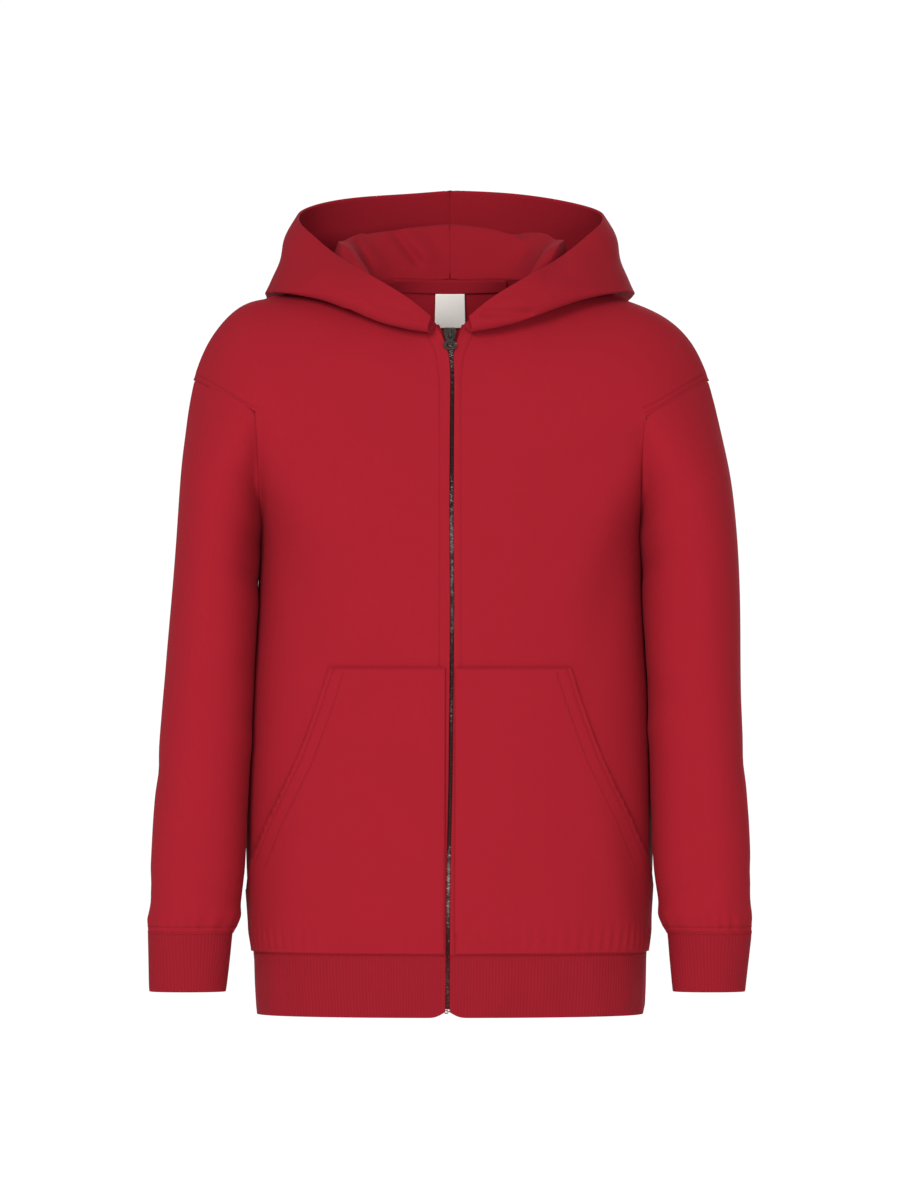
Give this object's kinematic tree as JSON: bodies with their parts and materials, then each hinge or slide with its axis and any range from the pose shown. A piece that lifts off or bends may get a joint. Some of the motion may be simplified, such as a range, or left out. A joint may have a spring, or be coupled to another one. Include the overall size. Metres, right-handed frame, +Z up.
{
  "type": "hooded jacket",
  "caption": "child's hooded jacket with a front zip, two slanted patch pockets, ribbed hem and cuffs, hood down, hollow and filled out as if worn",
  "frame": {"origin": "base of the neck, midway between the two neck points and level with the shoulders, where the garment hangs on whoever wears it", "axes": "+Z up along the garment's length, -Y out of the zip front, +X to the wearer's left"},
  "size_m": [0.5137, 0.2419, 0.7043],
  "materials": {
    "red_fleece": "matt",
    "red_rib": "matt rib knit",
    "red_tape": "matt woven",
    "label": "matt",
    "zip_metal": "dark antique, satin"
  },
  "bodies": {
    "garment": {"front_left": "red_fleece", "front_right": "red_fleece", "back": "red_fleece", "sleeve_left": "red_fleece", "sleeve_right": "red_fleece", "cuff_left": "red_rib", "cuff_right": "red_rib", "hem_band": "red_rib", "hood_left": "red_fleece", "hood_right": "red_fleece", "pocket_left": "red_fleece", "pocket_right": "red_fleece", "neck_tape": "red_tape", "neck_label": "label", "zip_tape_left": "red_tape", "zip_tape_right": "red_tape", "zip_chain": "zip_metal", "zip_slider": "zip_metal"},
    "pull": {"zip_pull": "zip_metal"}
  },
  "joints": [
    {"name": "pull_swing", "type": "hinge", "parent": "garment", "child": "pull", "pos_m": [0, -0.06694, -0.02176], "axis": [-1, 0, 0], "range_deg": [0, 170]}
  ]
}
